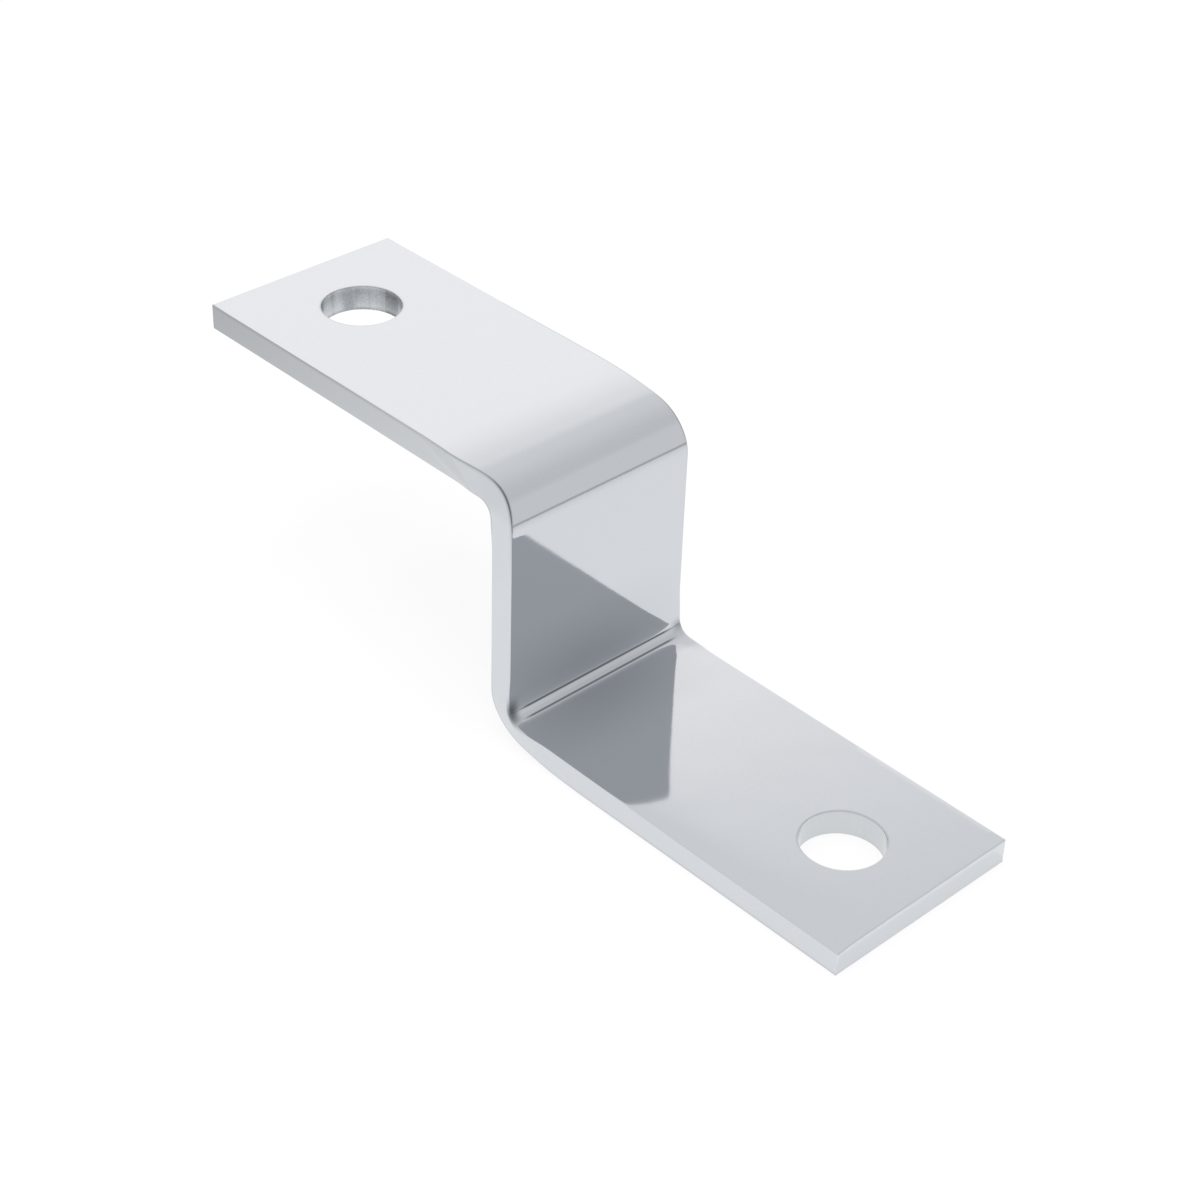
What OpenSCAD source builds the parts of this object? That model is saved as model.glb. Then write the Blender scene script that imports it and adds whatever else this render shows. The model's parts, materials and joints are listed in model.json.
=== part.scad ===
// Z bracket: one length of flat bar, folded twice at right angles, with a punched bolt hole in each leg.
// Millimetres. The lower leg lies on z = 0, the web stands over x = 0 and the width is centred on y = 0.

/* [Bar] */
// Width of the flat bar
bar_width = 25; // [16:0.5:50]
// Thickness of the flat bar
bar_thickness = 3; // [2:0.1:5]
// Radius of the softened edges and corners
edge_radius = 0.4; // [0.1:0.05:0.8]

/* [Legs and web] */
// Height from the underside of the lower leg to the top of the upper leg
height = 32; // [24:0.5:80]
// Length of the upper leg, from the far face of the web to the free end
upper_leg = 50; // [34:0.5:120]
// Length of the lower leg, from the far face of the web to the free end
lower_leg = 50; // [34:0.5:120]
// Inside radius of both folds
fold_radius = 3.5; // [2:0.1:6]

/* [Holes] */
// Diameter of the hole in the upper leg
upper_hole = 9; // [4:0.1:12]
// Distance from the upper leg's free end to the centre of its hole
upper_hole_inset = 10.8; // [9:0.1:20]
// Diameter of the hole in the lower leg
lower_hole = 9; // [4:0.1:12]
// Distance from the lower leg's free end to the centre of its hole
lower_hole_inset = 10.8; // [9:0.1:20]
// Radius of the rolled rim that the punch leaves round a hole
rim_radius = 0.5; // [0.3:0.05:0.8]
// Depth of the rolled rim, less than its radius
rim_depth = 0.35; // [0.1:0.05:0.5]

/* [Hidden] */
$fn = 72;
fold_turn = 90;
outer_fold = fold_radius + bar_thickness;
web_length = height - 2 * outer_fold;
fold_x = outer_fold - bar_thickness / 2;
cut_margin = 1;

// Section of the flat bar: thickness along x, width along y, with rounded corners
module bar_section() {
    side = bar_width / 2 - edge_radius;
    translate([edge_radius, -bar_width / 2])
        square([bar_thickness - 2 * edge_radius, bar_width]);
    translate([0, -side])
        square([bar_thickness, 2 * side]);
    for (x = [edge_radius, bar_thickness - edge_radius], y = [-side, side])
        translate([x, y])
            circle(edge_radius);
}

// Outline of the bar's last stretch before a free end, seen from the side
module end_outline() {
    translate([0, edge_radius])
        square([edge_radius, bar_thickness - 2 * edge_radius]);
    for (z = [edge_radius, bar_thickness - edge_radius])
        intersection() {
            translate([0, z])
                circle(edge_radius);
            square([edge_radius, bar_thickness]);
        }
}

// Free end of a leg, rounded over on its edges and at both corners, growing from x = 0 towards +x
module free_end() {
    side = bar_width / 2 - edge_radius;
    translate([0, side, 0])
        rotate([90, 0, 0])
            linear_extrude(2 * side)
                end_outline();
    for (turn = [0, -90])
        translate([0, turn < 0 ? -side : side, 0])
            rotate([0, 0, turn])
                rotate_extrude(angle = 90)
                    end_outline();
}

// Straight bar lying on z = 0, from x = 0 to x = length
module straight_bar(length) {
    translate([0, 0, bar_thickness])
        rotate([0, 90, 0])
            linear_extrude(length)
                bar_section();
}

// Quarter turn of the bar about the origin, from straight down to straight towards -x
module fold() {
    rotate([90, 0, 0])
        rotate([0, 0, 180])
            rotate_extrude(angle = fold_turn)
                translate([fold_radius, 0])
                    bar_section();
}

// Punched hole: straight wall with a rolled rim at each mouth, from z = 0 up through the bar
module punched_hole(diameter) {
    bore_radius = diameter / 2;
    rotate_extrude()
        difference() {
            translate([0, -cut_margin])
                square([bore_radius + rim_radius, bar_thickness + 2 * cut_margin]);
            translate([bore_radius, rim_depth])
                square([2 * rim_radius, bar_thickness - 2 * rim_depth]);
            for (z = [rim_depth, bar_thickness - rim_depth])
                translate([bore_radius + rim_radius, z])
                    circle(rim_radius);
        }
}

// Leg with its hole and the fold that turns it up into the web, seen from the web's mid-plane
module folded_leg(length, hole, hole_inset) {
    end_x = length - bar_thickness / 2;
    translate([fold_x, 0, outer_fold])
        fold();
    difference() {
        union() {
            translate([fold_x, 0, 0])
                straight_bar(end_x - edge_radius - fold_x);
            translate([end_x - edge_radius, 0, 0])
                free_end();
        }
        translate([end_x - hole_inset, 0, 0])
            punched_hole(hole);
    }
}

// Upright web between the two folds
module web() {
    translate([-bar_thickness / 2, 0, outer_fold])
        linear_extrude(web_length)
            bar_section();
}

module z_bracket() {
    color("lightsteelblue")
        union() {
            folded_leg(lower_leg, lower_hole, lower_hole_inset);
            web();
            translate([0, 0, height])
                rotate([0, 180, 0])
                    folded_leg(upper_leg, upper_hole, upper_hole_inset);
        }
}

z_bracket();
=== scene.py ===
"""Z bracket: the folded bar with its bright plated finish, on a pale studio stage.

Laid out as a Blender add-on and run as a script. Lengths are in metres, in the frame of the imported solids:
the lower leg lies on z = 0, the web stands over x = 0 and the width of the bar is centred on y = 0.
"""
import json
import math

import bmesh
import bpy
import numpy as np
from mathutils import Matrix, Vector


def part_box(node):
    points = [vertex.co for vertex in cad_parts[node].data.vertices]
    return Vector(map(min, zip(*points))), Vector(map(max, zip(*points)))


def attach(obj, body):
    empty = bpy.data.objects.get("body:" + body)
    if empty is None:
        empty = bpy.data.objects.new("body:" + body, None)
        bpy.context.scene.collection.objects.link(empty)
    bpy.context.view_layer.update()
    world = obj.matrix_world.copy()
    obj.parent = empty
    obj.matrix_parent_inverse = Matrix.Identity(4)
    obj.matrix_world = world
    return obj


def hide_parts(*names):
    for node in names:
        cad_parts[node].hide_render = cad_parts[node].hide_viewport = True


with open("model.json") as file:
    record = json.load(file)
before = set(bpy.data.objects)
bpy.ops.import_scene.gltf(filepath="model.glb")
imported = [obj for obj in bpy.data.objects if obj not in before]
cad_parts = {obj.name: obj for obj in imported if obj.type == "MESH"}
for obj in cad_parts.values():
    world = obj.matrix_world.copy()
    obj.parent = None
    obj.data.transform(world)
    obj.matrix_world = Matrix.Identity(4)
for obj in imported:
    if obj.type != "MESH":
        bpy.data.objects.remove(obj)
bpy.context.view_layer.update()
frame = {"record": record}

bl_info = {
    "name": "Z bracket",
    "version": (1, 0, 0),
    "blender": (4, 5, 0),
    "location": "View3D > Sidebar > Z bracket",
    "description": "Builds a folded flat-bar bracket with a bright plated finish, and a pale stage for it",
    "category": "Object",
}

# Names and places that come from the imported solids
NODE = "z_bracket"
BODY = "root"
BOX_LOW, BOX_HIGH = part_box(NODE)
MOUNTS = {mount["name"]: mount for mount in frame["record"]["mounts"]}
THICKNESS = MOUNTS["lower_top"]["pos_m"][2] - MOUNTS["lower_underside"]["pos_m"][2]
MM_IN_M = 1000

# Fineness of the grid, and how far its steps crowd towards folds and edges
FLAT_STEPS = 48
CORNER_STEPS = 8
SIDE_STEPS = 6
WEB_STEPS = 14
LEAD_STEPS = 20
FOLD_STEPS = 72
FOLD_FINE = 16
APPROACH_STEPS = 16
HOLE_STEPS = 32
TIP_STEPS = 6
END_STEPS = 8
FACE_STEPS = 12
WALL_STEPS = 8
FOLD_CROWD = 0.9
FLAT_CROWD = 0.75
SIDE_CROWD = 0.6
TIP_CROWD = 0.7
RIM_CROWD = 0.85
CORNER_WEIGHT = math.sqrt(0.5)
SLANT = np.array([-math.sqrt(0.5), math.sqrt(0.5)])
OUTER_START = FLAT_STEPS + 2 * CORNER_STEPS + SIDE_STEPS
FACE_ENDS = [0, FLAT_STEPS, OUTER_START, OUTER_START + FLAT_STEPS]
WELD = 1e-6

# Material slots of the bar's mesh
PLATE, WALL = 0, 1

# Pattern of a punched wall
STREAK_SQUEEZE = 0.04
PATCH_TONES = (0.54, 0.74)
TORN_TONES = (0.3, 0.7)
TORN_SHARE = 0.4

# Places of the stage's sheets, cards and lamp
FLOOR_Z = -0.00004
CARD_Z = 0.0002
RIGHT_CARDS_Y = (-0.10, 0.30)
SKIRTING_X = 0.12
SKIRTING_TOP = 0.06
SKIRTING_BAND = (0.010, 0.014)
FLOOR_SPLIT_X = 0.05
FAR_FLOOR_X = 0.11
NEAR_FLOOR_X = 0.002
NEAR_FLOOR_Y = (0.013, 0.10)
LEFT_CARD_LOW = (-0.6, -0.6)
LEFT_CARD_HIGH = (-0.020, -0.014)
LEFT_CARD_DARKEST = -0.100
LEFT_CARD_PALES = (-0.047, -0.10)
LAMP_PLACE = (0.1, -0.1, 0.9)
LAMP_SIZE = 0.6

# Directions between which the room's light changes
RIGHT_RISE = (0.46, 0.64)
LEFT_TO_RIGHT = (-0.6, 0.5)
FRONT_TO_BACK = (-0.6, 0.3)
PANEL_BEARING = math.radians(40)
PANEL_SPREAD = (0.25, 0.55)
PANEL_SLOPE = 0.5
PANEL_TOP = (0.2485, 0.463)


def length(name, description, default):
    """A size in metres that a user may change."""
    return bpy.props.FloatProperty(
        name=name, description=description, default=default, unit="LENGTH", subtype="DISTANCE", precision=5
    )


def colour(name, description, default):
    """A linear colour that a user may change."""
    return bpy.props.FloatVectorProperty(
        name=name, description=description, default=default, size=3, min=0.0, max=1.0, subtype="COLOR"
    )


def share(name, description, default, top=1.0):
    """A plain number from nothing to top."""
    return bpy.props.FloatProperty(
        name=name, description=description, default=default, min=0.0, max=top, subtype="FACTOR", precision=4
    )


def turn(name, description, degrees):
    """An angle, given in degrees and kept in radians."""
    return bpy.props.FloatProperty(
        name=name, description=description, default=math.radians(degrees), unit="ROTATION", subtype="ANGLE"
    )


class BarSizes(bpy.types.PropertyGroup):
    """Sizes of the folded bar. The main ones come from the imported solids."""

    width: length("Bar width", "Width of the flat bar", BOX_HIGH.y - BOX_LOW.y)
    thickness: length("Bar thickness", "Thickness of the flat bar", THICKNESS)
    height: length("Height", "From the lower leg's underside to the upper leg's top", BOX_HIGH.z - BOX_LOW.z)
    lower_reach: length("Lower reach", "From the web's mid-plane to the lower leg's free end", BOX_HIGH.x)
    upper_reach: length("Upper reach", "From the web's mid-plane to the upper leg's free end", -BOX_LOW.x)
    lower_hole_at: length("Lower hole at", "From the web's mid-plane to the lower hole's centre",
                          MOUNTS["lower_hole"]["pos_m"][0])
    upper_hole_at: length("Upper hole at", "From the web's mid-plane to the upper hole's centre",
                          -MOUNTS["upper_hole"]["pos_m"][0])
    hole_radius: length("Hole radius", "Radius of both punched holes",
                        MOUNTS["lower_hole"]["dims"]["r_mm"] / MM_IN_M)
    edge_radius: length("Edge radius", "Radius of the softened edges of the bar", 0.00011)
    outside_rise: length("Outside rise", "How far up the web the outside of a fold reaches", 0.0059)
    inside_rise: length("Inside rise", "How far up the web the crease inside a fold reaches", 0.00170)
    outside_lead: length("Outside lead", "Length of gentle curve before the outside of a fold", 0.0080)
    outside_slope: turn("Outside slope", "How far the outside has turned over its lead", 5.2)
    inside_lead: length("Inside lead", "Length of gentle curve before the crease inside a fold", 0.0009)
    inside_slope: turn("Inside slope", "How far the inside has turned over its lead", 2.5)
    turn_in: share("Turn in", "Share of a fold over which its curve eases in", 0.45)
    swell: length("Swell", "How far a fold pushes its inside edges out sideways", 0.00036)
    swell_reach: length("Swell reach", "How far along the bar the swollen edge runs from the crease", 0.0042)
    swell_round: length("Swell rounding", "Extra rounding of a swollen edge", 0.00036)
    round_reach: length("Rounding reach", "How far along the bar that rounding runs from the crease", 0.0030)
    lower_fall: length("Lower fall", "How far the -y edge of the lower leg's inside face falls", 0.00026)
    upper_fall: length("Upper fall", "How far the -y edge of the upper leg's inside face falls", 0.0)
    fall_in: length("Fall in", "Distance in from the side over which that fall fades", 0.0019)
    fall_from: length("Fall from", "Distance from the crease at which that fall is full", 0.0085)
    draw: length("Draw", "How far a fold draws its outside edges in", 0.00050)
    draw_at: length("Draw at", "Where the outside edges draw in most, from mid-fold to the web", -0.0011)
    draw_reach: length("Draw reach", "How far along the bar the drawn-in edge runs", 0.0058)
    opening: length("Opening", "How far a crease opens up at the bar's sides", 0.00018)
    opening_reach: length("Opening reach", "How far that opening runs along the bar", 0.0030)
    opening_in: length("Opening in", "How far that opening runs in from a side", 0.0018)
    lower_lean: length("Lower lean", "How far the outside of the lower fold leans towards +y", -0.00028)
    upper_lean: length("Upper lean", "How far the outside of the upper fold leans towards +y", 0.00034)
    rim_across: length("Rim across", "Width of the rolled rim round a hole", 0.00006)
    # Painted shade: a dark line round each hole's rim
    rim_shade: share("Rim mark", "Strength of the dull line round a hole", 0.30)
    rim_down: length("Rim down", "Depth of the rolled rim round a hole", 0.00012)
    break_flare: length("Break flare", "How far the broken part of a hole's wall opens out", 0.00006)
    # The folding tool's marks along a crease, painted dark as they reflect
    web_mark: length("Web mark", "Where the folding tool's mark on the web's side of a crease is", 0.00066)
    leg_mark: length("Leg mark", "Where its mark on the leg's side of a crease is", -0.00046)
    mark_width: length("Mark width", "Half the width of those marks", 0.00019)
    mark_and_shade_reach: length("Mark reach", "How far those marks reach round the bar's edge", 0.0004)
    # Painted shade at each end of a crease, where the swollen inside edge turns away
    bulge_shade: length("Smudge", "Width of the dull smudge at each end of a crease", 0.0014)
    bulge_shade_reach: length("Smudge reach", "How far that smudge reaches along the bar on the -y side", 0.0018)
    far_reach: length("Far smudge reach", "How far it reaches along the bar on the +y side", 0.0009)
    near_bulge_shade: share("Near smudge", "Strength of that smudge on the -y side", 1.0)
    far_bulge_shade: share("Far smudge", "Strength of that smudge on the +y side", 0.5)
    # Painted shade in the corner of a crease, most in the middle of the bar's width
    painted_shade: share("Dull", "Strength of the thin, dull plate in the corner of a crease", 0.19)
    painted_shade_reach: length("Dull reach", "How far along the bar that dull plate reaches", 0.0088)
    painted_shade_across: length("Dull across", "How far across the bar it reaches from the middle", 0.016)
    # Painted shade: a dark line along the rounded edges outside a fold
    edge_shade: length("Edge mark", "Width of the dull line along the drawn-in edge outside a fold", 0.00017)
    edge_shade_at: length("Edge mark at", "Where that line is strongest, from mid-fold to the web", 0.0007)
    edge_shade_reach: length("Edge mark reach", "How far along the bar that line runs", 0.0042)
    edge_share: share("Edge share", "Strength of that line at the fold", 1.4, 3.0)
    edge_least: share("Edge least", "Strength of that line along the rest of the leg", 0.6)
    edge_fade: length("Edge fade", "How far up the web that line fades out", 0.0085)
    end_sideness: share("End tone", "How far the cut ends have the sides' tone, from the faces' tone", 0.55)
    lower_break: share("Lower break", "Share of the lower hole's wall that broke out", 0.05)
    # The upper hole's wall is mostly broken and dark: a rough break, and painted shade for the shadowed
    # floor that it reflects
    upper_break_and_shade: share("Upper break", "Share of the upper hole's wall that broke out", 0.95)
    flat_round_hole: length("Flat round a hole", "Half the length of the flat meshed round a hole", 0.0092)


class PlateFinish(bpy.types.PropertyGroup):
    """Finish of the bright plate and of the punched walls."""

    plate: colour("Plate", "Colour of the bright plate", (0.572, 0.592, 0.622))
    side: colour("Side", "Colour of the rolled sides and cut ends", (0.655, 0.675, 0.704))
    wall: colour("Wall", "Colour of the walls of the punched holes", (0.610, 0.630, 0.655))
    # Colour of the folding tool's marks and of all the painted shade on the plate
    nip_and_shade: colour("Nip", "Colour of the dull marks along a crease", (0.150, 0.165, 0.180))
    torn: colour("Torn", "Colour of the broken part of a hole's wall", (0.340, 0.360, 0.378))
    plate_roughness: share("Plate roughness", "Roughness of the broad faces", 0.05)
    side_roughness: share("Side roughness", "Roughness of the rolled sides and cut ends", 0.20)
    wall_roughness: share("Wall roughness", "Roughness of the sheared part of a hole's wall", 0.16)
    break_roughness: share("Break roughness", "Roughness of the broken part of a hole's wall", 0.42)
    tone_change: share("Tone change", "How much the plate's tone changes over its grain", 0.035)
    patch_change: share("Patch change", "How much the broken part's tone changes by patches", 0.52)
    wave_depth: length("Wave depth", "Depth of the slow waves left by rolling", 0.000018)
    streak_depth: length("Streak depth", "Depth of the streaks that the punch leaves", 0.000006)


class StageSettings(bpy.types.PropertyGroup):
    """Camera, floor and light of the stage."""

    azimuth: turn("Azimuth", "Where the camera stands, from looking along +Y", 45.63)
    elevation: turn("Elevation", "Height of the camera above the horizon", 35.27)
    roll: turn("Roll", "Turn of the camera about its own axis", 2.08)
    distance: length("Distance", "From the camera to the point that it looks at", 0.2706)
    aim: bpy.props.FloatVectorProperty(
        name="Aim", description="The point that the camera looks at", default=(0.00138, 0.00033, 0.01281),
        size=3, unit="LENGTH", subtype="TRANSLATION", precision=5
    )
    lens: bpy.props.FloatProperty(
        name="Lens", description="Focal length in millimetres on a 36 mm sensor", default=76.38
    )
    floor: colour("Floor", "Colour of the floor", (0.92, 0.92, 0.92))
    floor_half: length("Floor half", "Half the side of the square floor", 6.0)
    floor_shine: share("Floor white", "Share of the floor's white that doesn't depend on the light", 0.85)
    back_right: share("Back right", "Light of the room behind on the right", 0.82, 3.0)
    low_right: share("Low right", "Light of the room behind on the right, near the floor", 0.90, 3.0)
    back_left: share("Back left", "Light of the room behind on the left, above the panel", 1.00, 3.0)
    front: share("Front", "Light of the room on the camera's side", 0.90, 3.0)
    panel: share("Panel", "Light of the bright panel behind on the left", 1.38, 3.0)
    panel_tint: colour("Panel tint", "Colour of the bright panel's light", (1.0, 0.975, 0.960))
    skirting: share("Skirting", "Light of the dark band where the far floor meets the room", 0.60, 3.0)
    near_floor: share("Near floor", "Light of the floor close behind the lower leg", 1.13, 3.0)
    mid_floor: share("Mid floor", "Light of the floor behind, level with the lower leg's end", 1.11, 3.0)
    far_floor: share("Far floor", "Light of the floor far behind on the right", 0.95, 3.0)
    # Painted shadow: light of a card seen only in reflections, where the bar's shadow falls on the floor
    left_floor: share("Left floor", "Light of the floor under the upper leg's free end", 0.60, 3.0)
    lamp_power: bpy.props.FloatProperty(
        name="Lamp", description="Power of the soft lamp overhead", default=3.50, unit="POWER"
    )


def bell(distance, reach):
    """Smooth bump (1 - (distance / reach)^2)^2, which is 1 at no distance and fades out at reach."""
    return (1.0 - np.clip(abs(distance) / reach, 0.0, 1.0) ** 2) ** 2


def crowded(steps, at_start=0.0, at_end=0.0):
    """Steps from 0 to 1 that crowd towards an end, by the cubic in u that rises from 0 to 1 with the slopes
    1 - at_start and 1 - at_end there."""
    u = np.linspace(0.0, 1.0, steps + 1)
    leaving = (u ** 3 - 2 * u ** 2 + u) * (1.0 - at_start)
    rising = 3 * u ** 2 - 2 * u ** 3
    arriving = (u ** 3 - u ** 2) * (1.0 - at_end)
    return leaving + rising + arriving


def between(a, b, u):
    """Points from a to b at the shares u, for one pair of points or for one pair at each station."""
    u = np.asarray(u)[..., None]
    return a[..., None, :] * (1.0 - u) + b[..., None, :] * u


def rounded_corner(start, corner, end):
    """Rounded corner at each station, tangent to its two sides: the rational quadratic curve
    (start (1-u)^2 + 2 w corner u (1-u) + end u^2) / ((1-u)^2 + 2 w u (1-u) + u^2) with w = cos 45 degrees,
    which is a quarter circle where the corner is square and its two sides are equal."""
    u = np.linspace(0.0, 1.0, CORNER_STEPS + 1)[None, :, None]
    first, middle, last = (1 - u) ** 2, 2 * CORNER_WEIGHT * u * (1 - u), u ** 2
    total = first + middle + last
    return (first * start[:, None] + middle * corner[:, None] + last * end[:, None]) / total


def fold_curve(rise, lead, lead_slope, turn_in):
    """Side view of one face of a fold, from the web at (0, rise) to the leg at (run, 0).

    Going from the leg, the face's slope grows evenly along the lead. It then turns to upright at a rate
    that eases in as 3 w^2 - 2 w^3 over the first share of the turn and stays even for the rest. The points
    are the running sums of the cosine and sine of the slope, with the turn scaled so that they end at the
    rise."""
    lead_u = (np.arange(LEAD_STEPS * FOLD_FINE) + 0.5) / (LEAD_STEPS * FOLD_FINE)
    turn_u = (np.arange(FOLD_STEPS * FOLD_FINE) + 0.5) / (FOLD_STEPS * FOLD_FINE)
    w = np.clip(turn_u / turn_in, 0.0, 1.0)
    rate = 3 * w ** 2 - 2 * w ** 3
    turned = (np.cumsum(rate) - rate / 2) / rate.sum()
    slope = np.concatenate([lead_slope * lead_u, lead_slope + (math.pi / 2 - lead_slope) * turned])
    steps = np.stack([np.cos(slope), np.sin(slope)], axis=-1)
    steps[:len(lead_u)] *= lead / len(lead_u)
    steps[len(lead_u):] *= (rise - steps[:len(lead_u), 1].sum()) / steps[len(lead_u):, 1].sum()
    points = np.concatenate([np.zeros((1, 2)), np.cumsum(steps, axis=0)])
    points[:, 0] = points[-1, 0] - points[:, 0]
    return points[::-FOLD_FINE]


def half_path(s, reach, hole_at):
    """Stations of one half of the bar, seen from its side, from the web's middle to the leg's free end.

    Each station has a point (x, z) on the face inside the fold and one on the face outside it. They run
    straight along the web and the leg and follow the fold's two curves between. At the free end both faces
    turn in by e (1 - cos b) while the bar goes on by e sin b. Gives the two rows of points, the turn-in at
    each station and where the hole's stretch is."""
    t, e = s.thickness, s.edge_radius
    corner_in, corner_out = np.array([t / 2, t]), np.array([-t / 2, 0.0])
    fold_in = fold_curve(s.inside_rise, s.inside_lead, s.inside_slope, s.turn_in) + corner_in
    fold_out = fold_curve(s.outside_rise, s.outside_lead, s.outside_slope, s.turn_in) + corner_out
    down = crowded(WEB_STEPS, 0.0, FOLD_CROWD)
    web_in = between(np.array([t / 2, s.height / 2]), fold_in[0], down)
    web_out = between(np.array([-t / 2, s.height / 2]), fold_out[0], down)
    marks = (hole_at - s.flat_round_hole, hole_at + s.flat_round_hole, reach - e)
    near, far, tip = (np.array([[x, t], [x, 0.0]]) for x in marks)
    approach = crowded(APPROACH_STEPS, FOLD_CROWD, 0.0)
    leg_in = between(fold_in[-1], near[0], approach)
    leg_out = between(fold_out[-1], near[1], approach)
    round_hole = np.linspace(0.0, 1.0, HOLE_STEPS + 1)
    hole_in, hole_out = (between(near[k], far[k], round_hole) for k in (0, 1))
    to_tip = crowded(TIP_STEPS, 0.0, TIP_CROWD)
    tip_in, tip_out = (between(far[k], tip[k], to_tip) for k in (0, 1))
    b = np.linspace(0.0, math.pi / 2, END_STEPS + 1)
    turned = e * (1.0 - np.cos(b))
    end_x = reach - e + e * np.sin(b)
    end_in = np.stack([end_x, t - turned], axis=-1)
    end_out = np.stack([end_x, turned], axis=-1)
    runs_in = (web_in, fold_in, leg_in, hole_in, tip_in)
    runs_out = (web_out, fold_out, leg_out, hole_out, tip_out)
    row_in = np.concatenate([run[:-1] for run in runs_in] + [end_in])
    row_out = np.concatenate([run[:-1] for run in runs_out] + [end_out])
    turn_in = np.concatenate([np.zeros(len(row_in) - len(b)), turned])
    hole_start = WEB_STEPS + FOLD_STEPS + LEAD_STEPS + APPROACH_STEPS
    return row_in, row_out, turn_in, (hole_start, hole_start + HOLE_STEPS)


def edge_fall(s, fall, from_side):
    """How far a leg's inside face falls at a distance from its -y side: fall exp(-distance / fall_in)."""
    return fall * np.exp(-from_side / s.fall_in)


def section_rings(half_in, half_out, round_in, round_out, deep):
    """Section of the bar at every station, as points (y, depth) from the inside face's -y end.

    It is a rectangle with rounded corners, of one half-width inside the fold and another outside it."""
    level = np.zeros_like(deep)
    corner_in = np.stack([half_in, level], axis=-1)
    corner_out = np.stack([half_out, deep], axis=-1)
    side = corner_out - corner_in
    side /= np.linalg.norm(side, axis=1, keepdims=True)
    face_in = np.stack([half_in - round_in, level], axis=-1)
    side_in = corner_in + side * round_in[:, None]
    side_out = corner_out - side * round_out[:, None]
    face_out = np.stack([half_out - round_out, deep], axis=-1)
    flank = crowded(SIDE_STEPS, SIDE_CROWD, SIDE_CROWD)
    right = np.concatenate([
        rounded_corner(face_in, corner_in, side_in),
        between(side_in, side_out, flank)[:, 1:-1],
        rounded_corner(side_out, corner_out, face_out),
    ], axis=1)
    flip = np.array([-1.0, 1.0])
    flat = crowded(FLAT_STEPS, FLAT_CROWD, FLAT_CROWD)
    return np.concatenate([
        between(face_in * flip, face_in, flat)[:, :-1],
        right,
        between(face_out, face_out * flip, flat)[:, 1:-1],
        (right * flip)[:, :0:-1],
    ], axis=1)


def ring_sideness():
    """How far each point round a section is on the bar's side: 0 on a face, 1 on a side."""
    rounded = np.linspace(0.0, 1.0, CORNER_STEPS + 1)
    on_side = np.concatenate([rounded, np.ones(SIDE_STEPS - 1), rounded[::-1]])
    on_face = np.zeros(FLAT_STEPS)
    return np.concatenate([on_face, on_side, on_face[1:], on_side[:0:-1]])


def bar_rings(s, row_in, row_out, turn_in, lean, fall):
    """Rings of the bar's section at every station, as an array of stations, points round and (x, y, z).

    At a fold the section's inside half-width grows by swell bell(c) and its inside corners round over
    further, while its outside half-width shrinks by draw bell(c), where c = (z - x) / sqrt 2 is the place
    along a face from the middle of the fold. Near the bar's sides the inside also shifts along the fold's
    diagonal, (x + z) / sqrt 2, by opening bell(c) bell(in from the side), and the outside leans sideways by
    lean bell(c). Away from the fold the inside face of the leg falls towards its -y side, by edge_fall
    times 1 - bell(c). Also gives how strongly each point is darkened: by the folding tool's marks, and by
    painted shade along the edges outside a fold and round the crease."""
    t = s.thickness
    inside = (row_in - np.array([t / 2, t])) @ SLANT
    outside = (row_out - np.array([-t / 2, 0.0])) @ SLANT
    drawn = bell(outside - s.draw_at, s.draw_reach)
    half_in = s.width / 2 + s.swell * bell(inside, s.swell_reach) - turn_in
    half_out = s.width / 2 - s.draw * drawn - turn_in
    round_out = s.edge_radius - turn_in
    round_in = round_out + s.swell_round * bell(inside, s.round_reach)
    span = row_out - row_in
    deep = np.linalg.norm(span, axis=1)
    ring = section_rings(half_in, half_out, round_in, round_out, deep)
    along = span / deep[:, None]
    depth = ring[..., 1] / deep[:, None]
    in_from_side = half_in[:, None] - abs(ring[..., 0])
    out_from_side = half_out[:, None] - abs(ring[..., 0])
    opened = s.opening * bell(inside, s.opening_reach)[:, None] * bell(in_from_side, s.opening_in)
    shift = opened * (1.0 - depth) / math.sqrt(2.0)
    settled = 1.0 - bell(np.minimum(inside, 0.0), s.fall_from)
    fallen = edge_fall(s, fall, half_in[:, None] + ring[..., 0]) * settled[:, None]
    sunk = ring[..., 1] + fallen * (1.0 - depth)
    points = np.stack([
        row_in[:, None, 0] + along[:, None, 0] * sunk + shift,
        ring[..., 0] + lean * drawn[:, None] * depth,
        row_in[:, None, 1] + along[:, None, 1] * sunk + shift,
    ], axis=-1)
    from_edge = np.hypot(out_from_side, deep[:, None] - ring[..., 1])
    inside_marks_and_shade = crease_marks_and_shade(s, inside[:, None], in_from_side, ring[..., 1], ring[..., 0])
    return points, inside_marks_and_shade + edge_shade_lines(s, outside, from_edge)


def edge_shade_lines(s, outside, from_edge):
    """Painted shade along the bar's edges outside a fold, standing in for the dark reflection of the rounded
    edge, as shade_strength bell(distance from the edge).

    It is strongest round the fold, keeps a least strength along the leg and fades out up the web."""
    at_fold = bell(outside - s.edge_shade_at, s.edge_shade_reach)
    least = s.edge_least * bell(np.maximum(outside, 0.0), s.edge_fade)
    # Painted shade: a dark line along the edge, strongest round the fold
    shade_strength = least + (s.edge_share - least) * at_fold
    return shade_strength[:, None] * bell(from_edge, s.edge_shade)


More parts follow.
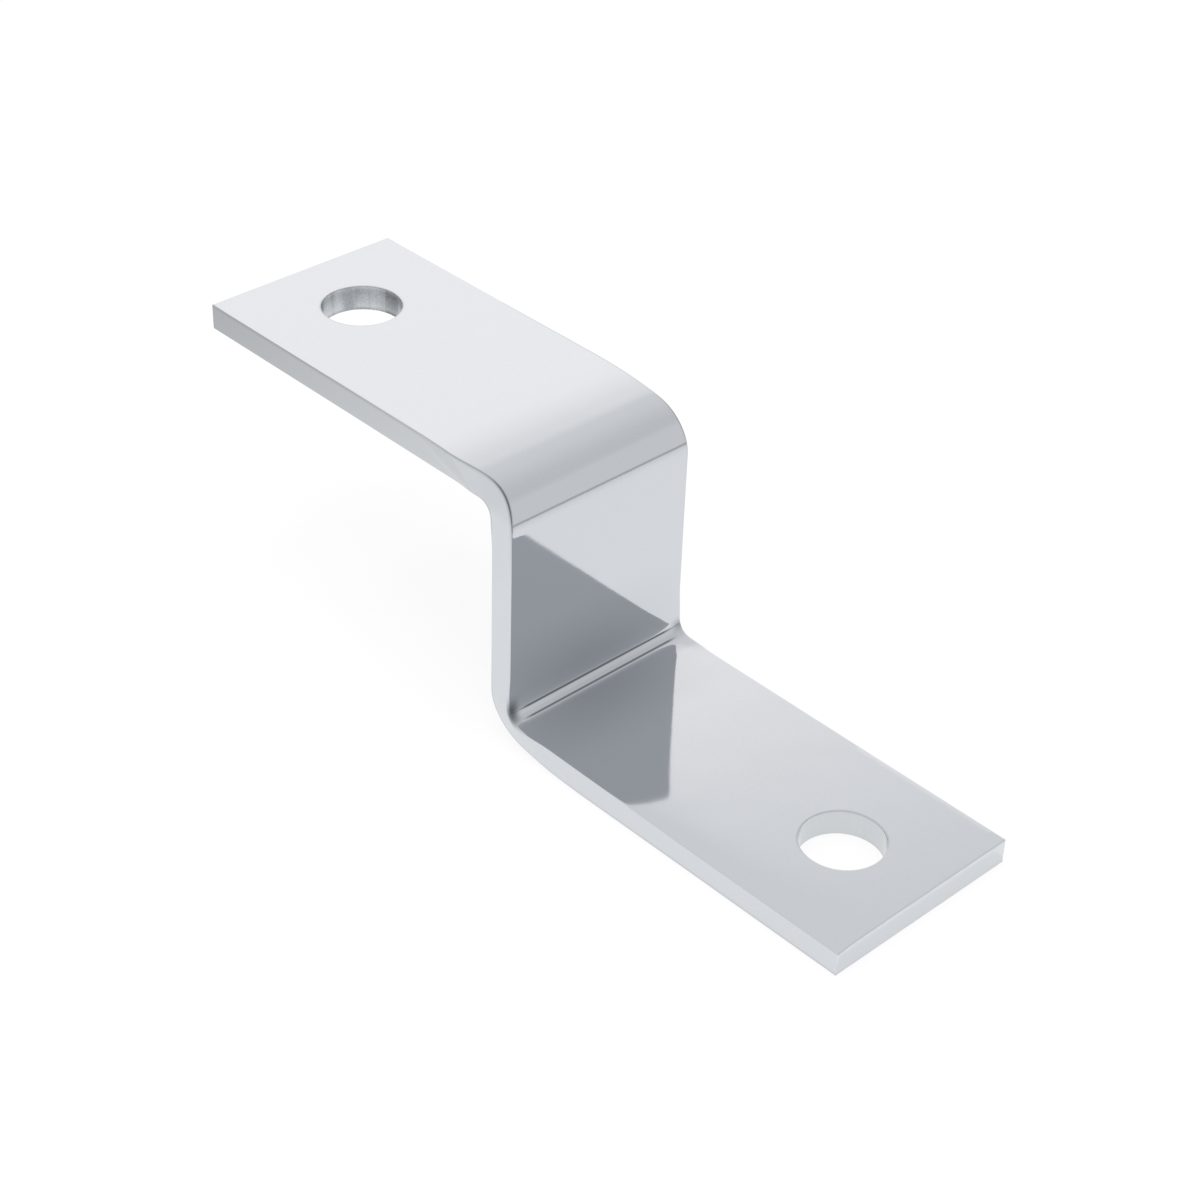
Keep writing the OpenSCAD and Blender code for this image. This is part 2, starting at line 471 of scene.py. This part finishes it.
def crease_marks_and_shade(s, c, from_side, depth, y):
    """Marks of the folding tool along a crease and painted shade round it, as a strength at every point of
    the rings.

    Two dark lines run along it at two places c from the middle of the fold: the tool's marks, painted dark
    as they reflect. They fade out short of the bar's sides, where painted shade of the swollen edge takes
    over. Painted shade also darkens the whole corner of the crease, most in the middle of the bar's width.
    All are products of bells and only reach a little way into the side."""
    # The folding tool's marks, painted dark as they reflect
    lines = bell(c - s.web_mark, s.mark_width) + bell(c - s.leg_mark, s.mark_width)
    ends = np.clip((from_side - s.bulge_shade) / s.bulge_shade, 0.0, 1.0)
    strength = np.where(y < 0.0, s.near_bulge_shade, s.far_bulge_shade)
    reach = np.where(y < 0.0, s.bulge_shade_reach, s.far_reach)
    # Painted shade where the swollen edge turns away at each end of the crease
    bulge_shades = strength * bell(c - s.web_mark, reach) * bell(from_side - s.bulge_shade / 3, s.bulge_shade)
    # Painted shade in the whole corner of the crease
    corner_shade = s.painted_shade * bell(c, s.painted_shade_reach) * bell(y, s.painted_shade_across)
    return (lines * ends + bulge_shades + corner_shade) * bell(depth, s.mark_and_shade_reach)


def grid_quads(rows, columns, closed):
    """Corner numbers of the quads of a grid, as rows, columns and 4, closed round its columns or not."""
    number = np.arange(rows * columns).reshape(rows, columns)
    right = np.roll(number, -1, axis=1)
    quads = np.stack([number[:-1], right[:-1], right[1:], number[1:]], axis=-1)
    return quads if closed else quads[:, :-1]


def bar_quads(stations, points, hole):
    """Quads between the rings, without the two flat stretches that the hole's own grid fills."""
    quads = grid_quads(stations, points, True)
    keep = np.ones(quads.shape[:2], bool)
    keep[hole[0]:hole[1], :FLAT_STEPS] = False
    keep[hole[0]:hole[1], OUTER_START:OUTER_START + FLAT_STEPS] = False
    return quads[keep]


def end_cap(rings):
    """Flat grid that closes the free end, from the last ring's inside face and its points on the +y side.

    A row's height is its side point's, plus the inside face's rise from the +y side times the row's share
    of the way up."""
    last = rings[-1]
    sides = last[FLAT_STEPS + CORNER_STEPS:FLAT_STEPS + CORNER_STEPS + SIDE_STEPS + 1]
    across = last[:FLAT_STEPS + 1, 1]
    grid = np.empty((len(sides), len(across), 3))
    grid[..., 0] = last[0, 0]
    grid[..., 1] = across[None, :]
    share_up = (sides[:, 2] - sides[-1, 2]) / (sides[0, 2] - sides[-1, 2])
    grid[..., 2] = sides[:, 2, None] + share_up[:, None] * (last[:FLAT_STEPS + 1, 2] - last[FLAT_STEPS, 2])
    return grid


def hole_surface(s, rings, hole, hole_at, break_height, fall):
    """Faces round a hole, its two rolled rims and its wall, as one grid of rows from the top down.

    The outline is the edge of the flat stretch, taken once round. A face row blends it into the hole's
    circle at the same bearing, outline (1-g) + circle g. A rim turns from the face into the wall on a
    rounded corner, and the wall opens out by flare u^2 over its broken lower part. Also gives each row's
    share of the broken part and which rows are the wall's."""
    stretch = rings[hole[0]:hole[1] + 1]
    near, far = stretch[0, :FLAT_STEPS + 1, :2], stretch[-1, :FLAT_STEPS + 1, :2]
    plus, minus = stretch[1:-1, FLAT_STEPS, :2], stretch[1:-1, 0, :2]
    outline = np.concatenate([near, plus, far[::-1], minus[::-1]])
    centre = np.array([hole_at, 0.0])
    bearing = np.arctan2(*(outline - centre).T[::-1])
    ray = np.stack([np.cos(bearing), np.sin(bearing)], axis=-1)
    t, r = s.thickness, s.hole_radius
    rim_r, rim_d = r + s.rim_across, s.rim_down
    steps = crowded(FACE_STEPS, 0.0, RIM_CROWD)[:, None, None]
    face = outline * (1.0 - steps) + (centre + rim_r * ray) * steps
    corner = rounded_corner(*(np.array([p]) for p in ((rim_r, t), (r, t), (r, t - rim_d))))[0]
    level = np.linspace(t - rim_d, rim_d, WALL_STEPS + 1)[1:-1]
    break_top = rim_d + break_height * (t - 2 * rim_d)
    broken = np.clip((break_top - level) / (break_top - rim_d), 0.0, 1.0)
    wall = np.stack([r + s.break_flare * broken ** 2, level], axis=-1)
    foot = corner[::-1] * np.array([1.0, -1.0]) + np.array([0.0, t])
    profile = np.concatenate([corner[1:], wall, foot[:-1]])
    turned = centre + profile[:, None, :1] * ray
    top = np.concatenate([face, np.full((*face.shape[:2], 1), t)], axis=-1)
    heights = np.broadcast_to(profile[:, None, 1:], (*turned.shape[:2], 1))
    middle = np.concatenate([turned, heights], axis=-1)
    under = np.concatenate([face[::-1], np.zeros((*face.shape[:2], 1))], axis=-1)
    rim = np.full(CORNER_STEPS, break_height)
    share_broken = np.concatenate([np.zeros(len(face)), rim, np.sqrt(broken), rim / 2, np.zeros(len(face))])
    grid = np.concatenate([top, middle, under])
    grid[..., 2] *= 1.0 - edge_fall(s, fall, s.width / 2 + grid[..., 1]) / t
    wall_rows = (len(face), len(face) + len(profile))
    return grid, np.broadcast_to(share_broken[:, None], grid.shape[:2]), wall_rows


def half_bar(s, reach, hole_at, break_height, lean, fall):
    """Vertices, quads, materials and named attributes of one half of the bar, the lower one."""
    row_in, row_out, turn_in, hole = half_path(s, reach, hole_at)
    rings, marks_and_shade = bar_rings(s, row_in, row_out, turn_in, lean, fall)
    cap = end_cap(rings)
    pierced, broken, wall_rows = hole_surface(s, rings, hole, hole_at, break_height, fall)
    none_on_bar, none_on_cap, none_round_hole = (np.zeros(grid.shape[:2]) for grid in (rings, cap, pierced))
    # Painted shade: a dark line on the rows next to each rim
    rim_shade_rows = none_round_hole.copy()
    rim_shade_rows[wall_rows[0] - 1] = s.rim_shade
    rim_shade_rows[wall_rows[1]] = s.rim_shade
    # The hole's grid has no marks or painted shade where it meets the rings
    marks_and_shade[hole[0]:hole[1] + 1, FACE_ENDS] = 0.0
    cap_quads = grid_quads(*cap.shape[:2], False).reshape(-1, 4)
    pierced_quads = grid_quads(*pierced.shape[:2], True).reshape(-1, 4)
    parts = (
        (rings, bar_quads(*rings.shape[:2], hole), none_on_bar + ring_sideness(), none_on_bar, marks_and_shade),
        (cap, cap_quads, none_on_cap + s.end_sideness, none_on_cap, none_on_cap),
        (pierced, pierced_quads, none_round_hole, broken, rim_shade_rows),
    )
    rows = np.arange(pierced.shape[0] - 1)
    on_wall = (rows >= wall_rows[0]) & (rows < wall_rows[1] - 1)
    material = np.concatenate([
        np.full(len(parts[0][1]) + len(parts[1][1]), PLATE),
        np.repeat(np.where(on_wall, WALL, PLATE), pierced.shape[1]),
    ])
    first = np.cumsum([0] + [part[0].shape[0] * part[0].shape[1] for part in parts])
    points = np.concatenate([part[0].reshape(-1, 3) for part in parts])
    quads = np.concatenate([part[1] + start for part, start in zip(parts, first)])
    marks = {
        name: np.concatenate([part[place].reshape(-1) for part in parts])
        for place, name in enumerate(("side", "broken", "nip_and_shade"), start=2)
    }
    return points, quads, material, marks


def folded_bar_mesh(s):
    """Mesh of the whole bar: the lower half, and the upper one turned half round about the web's middle,
    (x, y, z) to (-x, y, height - z), welded together."""
    lower = half_bar(s, s.lower_reach, s.lower_hole_at, s.lower_break, s.lower_lean, s.lower_fall)
    upper = half_bar(s, s.upper_reach, s.upper_hole_at, s.upper_break_and_shade, s.upper_lean, s.upper_fall)
    turned = upper[0] * np.array([-1.0, 1.0, -1.0]) + np.array([0.0, 0.0, s.height])
    points = np.concatenate([lower[0], turned])
    quads = np.concatenate([lower[1], upper[1] + len(lower[0])])
    mesh = bpy.data.meshes.new("folded_bar")
    mesh.from_pydata(points, [], quads)
    mesh.polygons.foreach_set("material_index", np.concatenate([lower[2], upper[2]]).astype(np.int32))
    mesh.polygons.foreach_set("use_smooth", np.ones(len(quads), bool))
    for name in lower[3]:
        layer = mesh.attributes.new(name, "FLOAT", "POINT")
        layer.data.foreach_set("value", np.concatenate([lower[3][name], upper[3][name]]).astype(np.float32))
    work = bmesh.new()
    work.from_mesh(mesh)
    bmesh.ops.remove_doubles(work, verts=work.verts, dist=WELD)
    bmesh.ops.dissolve_degenerate(work, edges=work.edges, dist=WELD / 10)
    bmesh.ops.recalc_face_normals(work, faces=work.faces)
    open_edges = sum(not edge.is_manifold for edge in work.edges)
    volume = work.calc_volume(signed=True)
    work.to_mesh(mesh)
    work.free()
    if open_edges or volume <= 0.0:
        raise RuntimeError(f"the bar isn't closed: {open_edges} open edges, volume {volume}")
    mesh.update()
    return mesh


def new_tree(owner):
    """Empty node tree of a material or world."""
    owner.use_nodes = True
    owner.node_tree.nodes.clear()
    return owner.node_tree


def put(tree, kind, at, **settings):
    """New node of a kind at a place in the tree, with its settings."""
    node = tree.nodes.new(kind)
    node.location = at
    for name, value in settings.items():
        setattr(node, name, value)
    return node


def connect(tree, socket, source):
    """Links an input to another socket, or sets its value."""
    if isinstance(source, bpy.types.NodeSocket):
        tree.links.new(source, socket)
    else:
        socket.default_value = source


def feed(tree, node, **sources):
    """Sets or links a node's inputs, named in lower case with underscores."""
    sockets = {socket.name.lower().replace(" ", "_"): socket for socket in reversed(node.inputs)}
    for name, source in sources.items():
        connect(tree, sockets[name], source)


def reckon(tree, at, operation, *sources):
    """Result of a Math node on numbers or sockets."""
    node = put(tree, "ShaderNodeMath", at, operation=operation)
    for socket, source in zip(node.inputs, sources):
        connect(tree, socket, source)
    return node.outputs[0]


def ease(tree, at, value, low, high, to_low=0.0, to_high=1.0, kind="SMOOTHSTEP"):
    """Result of a Map Range from low and high to two new values, smooth or straight."""
    node = put(tree, "ShaderNodeMapRange", at, interpolation_type=kind)
    feed(tree, node, value=value, from_min=low, from_max=high, to_min=to_low, to_max=to_high)
    return node.outputs["Result"]


def grain_group():
    """Node group of the rolled grain: fine pits and slow waves over Object coordinates."""
    tree = bpy.data.node_groups.new("rolled_grain", "ShaderNodeTree")
    make = tree.interface.new_socket
    make("Vector", in_out="INPUT", socket_type="NodeSocketVector")
    make("Pit Scale", in_out="INPUT", socket_type="NodeSocketFloat").default_value = 5000.0
    make("Wave Scale", in_out="INPUT", socket_type="NodeSocketFloat").default_value = 150.0
    make("Pit Share", in_out="INPUT", socket_type="NodeSocketFloat").default_value = 0.1
    make("Height", in_out="OUTPUT", socket_type="NodeSocketFloat")
    make("Tone", in_out="OUTPUT", socket_type="NodeSocketFloat")
    inlet = put(tree, "NodeGroupInput", (-600, 0))
    outlet = put(tree, "NodeGroupOutput", (400, 0))
    place = inlet.outputs["Vector"]
    pits = put(tree, "ShaderNodeTexNoise", (-350, 150))
    feed(tree, pits, vector=place, scale=inlet.outputs["Pit Scale"], detail=3.0, roughness=0.6)
    waves = put(tree, "ShaderNodeTexNoise", (-350, -150))
    feed(tree, waves, vector=place, scale=inlet.outputs["Wave Scale"], detail=1.0, roughness=0.4)
    fine = reckon(tree, (-100, 100), "MULTIPLY", pits.outputs[0], inlet.outputs["Pit Share"])
    height = reckon(tree, (100, 0), "ADD", fine, waves.outputs[0])
    tree.links.new(height, outlet.inputs["Height"])
    tree.links.new(pits.outputs[0], outlet.inputs["Tone"])
    return tree


def place_grain(tree, grain, at, vector, pit_scale, wave_scale, pit_share):
    """The grain group in a material, with its own values."""
    node = put(tree, "ShaderNodeGroup", at, node_tree=grain)
    feed(tree, node, vector=vector, pit_scale=pit_scale, wave_scale=wave_scale, pit_share=pit_share)
    return node.outputs["Height"], node.outputs["Tone"]


def mixed(tree, at, kind, factor, first, second):
    """Result of a Mix node on two colours or two numbers, each a value or a socket."""
    node = put(tree, "ShaderNodeMix", at, data_type=kind)
    ends = [socket for socket in node.inputs if socket.enabled]
    for socket, source in zip(ends, (factor, first, second)):
        connect(tree, socket, source)
    return next(socket for socket in node.outputs if socket.enabled)


def blended(tree, at, factor, first, second):
    """Result of a Mix Shader node on two shaders."""
    node = put(tree, "ShaderNodeMixShader", at)
    for socket, source in zip(node.inputs, (factor, first, second)):
        connect(tree, socket, source)
    return node.outputs[0]


def close_tree(tree, at, shader, kind="ShaderNodeOutputMaterial"):
    """Output node of a material or world, fed by its shader."""
    outlet = put(tree, kind, at)
    tree.links.new(shader, outlet.inputs["Surface"])


def shaded(tree, at, base, change, tone):
    """Base colour darkened and lightened a little by a tone from 0 to 1."""
    dark = (*(c * (1.0 - change) for c in base), 1.0)
    light = (*(min(1.0, c * (1.0 + change)) for c in base), 1.0)
    return mixed(tree, at, "RGBA", tone, dark, light)


def attribute(tree, at, name):
    """A number kept on the bar's mesh."""
    return put(tree, "ShaderNodeAttribute", at, attribute_name=name).outputs["Fac"]


def metal(tree, at, base, roughness, normal):
    """Principled metal with its output, from a colour, a roughness and a normal."""
    shader = put(tree, "ShaderNodeBsdfPrincipled", at)
    shader.inputs["Metallic"].default_value = 1.0
    feed(tree, shader, base_color=base, roughness=roughness, normal=normal)
    close_tree(tree, (at[0] + 300, at[1]), shader.outputs["BSDF"])


def plate_material(finish, grain):
    """Bright plate: near-mirror broad faces with a faint grain and slow waves, and duller rolled sides."""
    material = bpy.data.materials.new("bright_plate")
    tree = new_tree(material)
    place = put(tree, "ShaderNodeTexCoord", (-1000, 0)).outputs["Object"]
    height, tone = place_grain(
        tree, grain, (-750, 100), place, pit_scale=5200.0, wave_scale=140.0, pit_share=0.06)
    side = attribute(tree, (-750, -200), "side")
    face_base = shaded(tree, (-500, 450), finish.plate, finish.tone_change, tone)
    side_base = shaded(tree, (-500, 250), finish.side, finish.tone_change, tone)
    plain = mixed(tree, (-300, 300), "RGBA", side, face_base, side_base)
    # Painted shade along edges, round the holes and round the creases, with the tool's marks, darkens the
    # plate
    nip_and_shade = attribute(tree, (-750, 500), "nip_and_shade")
    base = mixed(tree, (-150, 400), "RGBA", nip_and_shade, plain, (*finish.nip_and_shade, 1.0))
    gap = finish.side_roughness - finish.plate_roughness
    rough = reckon(tree, (-500, -200), "MULTIPLY_ADD", side, gap, finish.plate_roughness)
    bump = put(tree, "ShaderNodeBump", (-350, -50))
    feed(tree, bump, strength=1.0, distance=finish.wave_depth, height=height)
    metal(tree, (-50, 100), base, rough, bump.outputs["Normal"])
    return material


def wall_material(finish, grain):
    """Punched wall: upright streaks where the punch sheared it, and a rough band where it broke out."""
    material = bpy.data.materials.new("punched_wall")
    tree = new_tree(material)
    place = put(tree, "ShaderNodeTexCoord", (-1300, 0)).outputs["Object"]
    upright = put(tree, "ShaderNodeMapping", (-1100, 200))
    feed(tree, upright, vector=place, scale=(1.0, 1.0, STREAK_SQUEEZE))
    streaked = upright.outputs["Vector"]
    streak_height, streak_tone = place_grain(
        tree, grain, (-850, 200), streaked, pit_scale=2600.0, wave_scale=420.0, pit_share=0.3)
    torn_height, torn_tone = place_grain(
        tree, grain, (-850, -100), place, pit_scale=4200.0, wave_scale=1800.0, pit_share=1.0)
    broken = attribute(tree, (-850, -400), "broken")
    height = mixed(tree, (-550, 0), "FLOAT", broken, streak_height, torn_height)
    tone = mixed(tree, (-550, 250), "FLOAT", broken, streak_tone, torn_tone)
    rough = mixed(tree, (-550, -250), "FLOAT", broken, finish.wall_roughness, finish.break_roughness)
    sheared = shaded(tree, (-500, 450), finish.wall, finish.tone_change, tone)
    patch = ease(tree, (-750, 700), streak_height, *PATCH_TONES)
    speck = ease(tree, (-750, 900), torn_tone, *TORN_TONES)
    worn = mixed(tree, (-550, 650), "FLOAT", TORN_SHARE, patch, speck)
    torn = shaded(tree, (-350, 600), finish.torn, finish.patch_change, worn)
    base = mixed(tree, (-300, 250), "RGBA", broken, sheared, torn)
    bump = put(tree, "ShaderNodeBump", (-300, -50))
    feed(tree, bump, strength=1.0, distance=finish.streak_depth, height=height)
    metal(tree, (0, 100), base, rough, bump.outputs["Normal"])
    return material


class ZBRACKET_OT_folded_bar(bpy.types.Operator):
    """Build the folded bar with its plated faces and punched holes"""

    bl_idname = "zbracket.folded_bar"
    bl_label = "Folded bar"

    def execute(self, context):
        sizes, finish = context.scene.zbracket_sizes, context.scene.zbracket_finish
        mesh = folded_bar_mesh(sizes)
        grain = grain_group()
        mesh.materials.append(plate_material(finish, grain))
        mesh.materials.append(wall_material(finish, grain))
        bar = bpy.data.objects.new("folded_bar", mesh)
        context.scene.collection.objects.link(bar)
        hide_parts(NODE)
        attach(bar, BODY)
        return {"FINISHED"}


def stage_sheet(name, low, high, material):
    """Flat rectangle from a low corner to a high one, level or upright along the line between them."""
    x0, y0, z0 = low
    x1, y1, z1 = high
    if z0 == z1:
        points = [low, (x1, y0, z0), high, (x0, y1, z1)]
    else:
        points = [low, (x1, y1, z0), high, (x0, y0, z1)]
    mesh = bpy.data.meshes.new(name)
    mesh.from_pydata(points, [], [(0, 1, 2, 3)])
    mesh.materials.append(material)
    sheet = bpy.data.objects.new(name, mesh)
    bpy.context.scene.collection.objects.link(sheet)
    return sheet


def floor_material(settings):
    """White floor: part of its white is even for the camera and reflections, and the rest keeps the
    shadow."""
    material = bpy.data.materials.new("pale_floor")
    tree = new_tree(material)
    rays = put(tree, "ShaderNodeLightPath", (-700, 200)).outputs
    seen = reckon(tree, (-500, 300), "MAXIMUM", rays["Is Camera Ray"], rays["Is Glossy Ray"])
    seen = reckon(tree, (-300, 250), "MAXIMUM", seen, rays["Is Transmission Ray"])
    even = reckon(tree, (-100, 250), "MULTIPLY", seen, settings.floor_shine)
    lit = put(tree, "ShaderNodeBsdfDiffuse", (-300, 0))
    feed(tree, lit, color=(*settings.floor, 1.0))
    white = put(tree, "ShaderNodeEmission", (-300, -150))
    close_tree(tree, (300, 100), blended(tree, (100, 100), even, lit.outputs[0], white.outputs[0]))
    return material


def card_tree(name):
    """New material of a card, its node tree and its Object coordinates by axis."""
    material = bpy.data.materials.new(name)
    tree = new_tree(material)
    place = put(tree, "ShaderNodeTexCoord", (-600, 0)).outputs["Object"]
    parts = put(tree, "ShaderNodeSeparateXYZ", (-400, 0))
    tree.links.new(place, parts.inputs[0])
    return material, tree, parts.outputs


def card_material(name, axis, start, end):
    """Grey card whose light runs from one level to another along an axis: start and end are (place,
    level)."""
    material, tree, place = card_tree(name)
    grey = put(tree, "ShaderNodeEmission", (0, 0))
    level = ease(tree, (-200, 0), place[axis], start[0], end[0], start[1], end[1], "LINEAR")
    feed(tree, grey, strength=level)
    close_tree(tree, (200, 0), grey.outputs[0])
    return material


def left_card_material(settings):
    """Grey card that stands in for the bar's shadow on the floor, as painted shadow seen in reflections. It
    turns see-through along X towards the web, and its light runs along Y from its own level by the bar to
    the level of the room in front."""
    material, tree, place = card_tree("left_floor")
    away = ease(tree, (-200, 200), place["X"], LEFT_CARD_DARKEST, LEFT_CARD_HIGH[0], kind="LINEAR")
    level = ease(tree, (-200, -50), place["Y"], *LEFT_CARD_PALES, settings.left_floor, settings.front)
    grey = put(tree, "ShaderNodeEmission", (0, 0))
    feed(tree, grey, strength=level)
    gone = put(tree, "ShaderNodeBsdfTransparent", (0, -150))
    close_tree(tree, (400, 0), blended(tree, (200, 0), away, grey.outputs[0], gone.outputs[0]))
    return material


def studio_world(settings):
    """Room light by direction: a soft room, dimmest behind on the right and brightest behind on the left,
    with a bright panel there whose upper edge slopes with the bearing."""
    world = bpy.data.worlds.new("studio")
    tree = new_tree(world)
    direction = put(tree, "ShaderNodeTexCoord", (-1200, 0)).outputs["Generated"]
    parts = put(tree, "ShaderNodeSeparateXYZ", (-1000, 0))
    tree.links.new(direction, parts.inputs[0])
    x, y, z = parts.outputs
    right = ease(tree, (-1100, 250), z, *RIGHT_RISE, settings.low_right, settings.back_right)
    behind = ease(tree, (-900, 250), x, *LEFT_TO_RIGHT, settings.back_left, right)
    backness = ease(tree, (-700, 200), y, *FRONT_TO_BACK)
    room = mixed(tree, (-500, 200), "FLOAT", backness, settings.front, behind)
    leftward = reckon(tree, (-900, -150), "MULTIPLY", x, -math.cos(PANEL_BEARING))
    backward = reckon(tree, (-900, -300), "MULTIPLY", y, math.sin(PANEL_BEARING))
    towards = reckon(tree, (-700, -200), "ADD", leftward, backward)
    inside = ease(tree, (-500, -200), towards, *PANEL_SPREAD)
    sloped = reckon(tree, (-900, -450), "MULTIPLY_ADD", x, PANEL_SLOPE, z)
    below = ease(tree, (-500, -400), sloped, *PANEL_TOP, 1.0, 0.0)
    panel = reckon(tree, (-300, -300), "MULTIPLY", inside, below)
    level = mixed(tree, (-100, 0), "FLOAT", panel, room, settings.panel)
    white, warm = (1.0, 1.0, 1.0, 1.0), (*settings.panel_tint, 1.0)
    tint = mixed(tree, (-100, 200), "RGBA", panel, white, warm)
    light = put(tree, "ShaderNodeBackground", (150, 0))
    feed(tree, light, color=tint, strength=level)
    close_tree(tree, (350, 0), light.outputs[0], "ShaderNodeOutputWorld")
    return world


def photo_camera(settings):
    """Camera at the photograph's place: back from the aim along the bearing, and rolled about its own
    axis."""
    a, e, roll = settings.azimuth, settings.elevation, settings.roll
    back = Vector((math.sin(a) * math.cos(e), -math.cos(a) * math.cos(e), math.sin(e)))
    level = Vector((math.cos(a), math.sin(a), 0.0))
    upright = back.cross(level)
    right = math.cos(roll) * level + math.sin(roll) * upright
    up = math.cos(roll) * upright - math.sin(roll) * level
    place = Vector(settings.aim) + settings.distance * back
    data = bpy.data.cameras.new("photo_camera")
    data.lens = settings.lens
    data.sensor_width = 36.0
    data.clip_start, data.clip_end = 0.01, 50.0
    camera = bpy.data.objects.new("photo_camera", data)
    camera.matrix_world = Matrix.Translation(place) @ Matrix((right, up, back)).transposed().to_4x4()
    return camera


class ZBRACKET_OT_stage(bpy.types.Operator):
    """Set up the camera, the pale floor, the cards and the soft light"""

    bl_idname = "zbracket.stage"
    bl_label = "Stage"

    def execute(self, context):
        scene, settings = context.scene, context.scene.zbracket_stage
        camera = photo_camera(settings)
        scene.collection.objects.link(camera)
        scene.camera = camera
        half = settings.floor_half
        near_y, far_y = RIGHT_CARDS_Y
        stage_sheet("floor", (-half, -half, FLOOR_Z), (half, half, FLOOR_Z), floor_material(settings))
        skirting = stage_sheet(
            "skirting", (SKIRTING_X, near_y, 0.0), (SKIRTING_X, far_y, SKIRTING_TOP),
            card_material("skirting", "Z", (SKIRTING_BAND[0], settings.skirting),
                          (SKIRTING_BAND[1], settings.low_right)))
        far_floor = stage_sheet(
            "far_floor", (FLOOR_SPLIT_X, near_y, CARD_Z), (SKIRTING_X, far_y, CARD_Z),
            card_material("far_floor", "X", (FLOOR_SPLIT_X, settings.mid_floor),
                          (FAR_FLOOR_X, settings.far_floor)))
        near_floor = stage_sheet(
            "near_floor", (NEAR_FLOOR_X, NEAR_FLOOR_Y[0], CARD_Z), (FLOOR_SPLIT_X, NEAR_FLOOR_Y[1], CARD_Z),
            card_material("near_floor", "X", (NEAR_FLOOR_X, settings.near_floor),
                          (FLOOR_SPLIT_X, settings.mid_floor)))
        # Painted shadow: a card seen only in reflections, dimmer where the bar's shadow would fall front
        # left
        left_floor = stage_sheet(
            "left_floor", (*LEFT_CARD_LOW, CARD_Z), (*LEFT_CARD_HIGH, CARD_Z), left_card_material(settings))
        for card in (skirting, far_floor, near_floor, left_floor):
            card.visible_camera = card.visible_diffuse = card.visible_shadow = False
        scene.world = studio_world(settings)
        lamp = bpy.data.lights.new("overhead", "AREA")
        lamp.shape, lamp.size, lamp.energy = "SQUARE", LAMP_SIZE, settings.lamp_power
        overhead = bpy.data.objects.new("overhead", lamp)
        overhead.location = LAMP_PLACE
        overhead.visible_glossy = False
        scene.collection.objects.link(overhead)
        scene.view_settings.view_transform = "Standard"
        return {"FINISHED"}


class ZBRACKET_PT_panel(bpy.types.Panel):
    """Lists the bracket's operators and sizes in the sidebar"""

    bl_label = "Z bracket"
    bl_idname = "ZBRACKET_PT_panel"
    bl_space_type = "VIEW_3D"
    bl_region_type = "UI"
    bl_category = "Z bracket"

    def draw(self, context):
        groups = (
            (ZBRACKET_OT_folded_bar, context.scene.zbracket_sizes),
            (None, context.scene.zbracket_finish),
            (ZBRACKET_OT_stage, context.scene.zbracket_stage),
        )
        for operator, group in groups:
            box = self.layout.box()
            if operator:
                box.operator(operator.bl_idname)
            for name in group.__annotations__:
                box.prop(group, name)


CLASSES = (
    BarSizes,
    PlateFinish,
    StageSettings,
    ZBRACKET_OT_folded_bar,
    ZBRACKET_OT_stage,
    ZBRACKET_PT_panel,
)
GROUPS = {"zbracket_sizes": BarSizes, "zbracket_finish": PlateFinish, "zbracket_stage": StageSettings}


def register():
    for item in CLASSES:
        bpy.utils.register_class(item)
    for name, group in GROUPS.items():
        setattr(bpy.types.Scene, name, bpy.props.PointerProperty(type=group))


def unregister():
    for name in GROUPS:
        delattr(bpy.types.Scene, name)
    for item in reversed(CLASSES):
        bpy.utils.unregister_class(item)


def main():
    """Registers the classes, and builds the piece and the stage."""
    register()
    bpy.ops.zbracket.folded_bar()
    bpy.ops.zbracket.stage()


if __name__ == "__main__":
    main()
